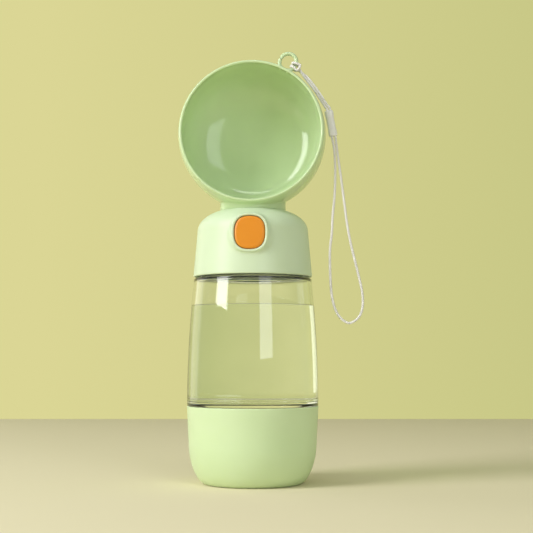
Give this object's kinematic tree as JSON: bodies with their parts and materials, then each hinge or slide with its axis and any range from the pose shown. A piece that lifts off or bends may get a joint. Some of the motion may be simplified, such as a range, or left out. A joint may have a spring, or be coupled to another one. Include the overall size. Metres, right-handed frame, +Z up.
{
  "type": "travel water bottle for dogs",
  "caption": "Pet travel bottle: clear tank on a snack cup, capped by a press-button valve that feeds a swivelling drinking bowl, with a wrist lanyard.",
  "frame": {"origin": "centre of the foot, on the surface that the bottle stands on", "axes": "+Z up along the bottle's axis; the bowl's opening and the button face -Y; +X to the right seen from the front"},
  "size_m": [0.1037, 0.0736, 0.2413],
  "materials": {
    "cup_plastic": "smooth, soft gloss",
    "clear_plastic": "clear, polished",
    "cap_plastic": "satin",
    "bowl_plastic": "glossy inside",
    "button_plastic": "satin",
    "white_plastic": "satin",
    "silicone": "matte, translucent",
    "steel": "plain",
    "slider_plastic": "soft",
    "cord": "twisted cord"
  },
  "bodies": {
    "base": {"snack_cup": "cup_plastic"},
    "reservoir": {"tank": "clear_plastic", "cup_seal": "silicone"},
    "cap": {"cap_shell": "cap_plastic", "cap_collar": "white_plastic", "tank_gasket": "silicone", "valve_housing": "white_plastic", "housing_gasket": "silicone", "housing_screws": "steel", "stem_seal": "silicone", "neck_seal": "silicone", "vent_valve": "silicone"},
    "drinking_bowl": {"bowl": "bowl_plastic", "outlet_grommet": "silicone", "swivel_clip": "steel", "lanyard_hitch": "cord", "lanyard_strands": "cord", "lanyard_slider": "slider_plastic", "lanyard_loop": "cord"},
    "press_button": {"button": "button_plastic", "button_slider": "white_plastic"},
    "valve": {"valve_stem": "white_plastic", "valve_seal": "silicone", "spring_cap": "white_plastic", "valve_spring": "steel"}
  },
  "joints": [
    {"name": "tank_lift", "type": "slide", "parent": "base", "child": "reservoir", "axis": [0, 0, 1], "range_m": [0, 0.04]},
    {"name": "cap_lift", "type": "slide", "parent": "reservoir", "child": "cap", "axis": [0, 0, 1], "range_m": [0, 0.03]},
    {"name": "bowl_turn", "type": "hinge", "parent": "cap", "child": "drinking_bowl", "pos_m": [0, 0, 0.15], "axis": [0, 0, 1], "range_deg": [-90, 90]},
    {"name": "button_press", "type": "slide", "parent": "cap", "child": "press_button", "axis": [0, 1, 0], "range_m": [0, 0.0025], "stiffness_N_per_m": 200, "springref_m": -0.002},
    {"name": "stem_drop", "type": "slide", "parent": "cap", "child": "valve", "axis": [0, 0, -1], "range_m": [0, 0.0025], "stiffness_N_per_m": 600, "springref_m": -0.002, "deforming": ["valve_spring"]}
  ],
  "couplings": [
    {"joint": "stem_drop", "follows": "button_press", "ratio": 1}
  ]
}
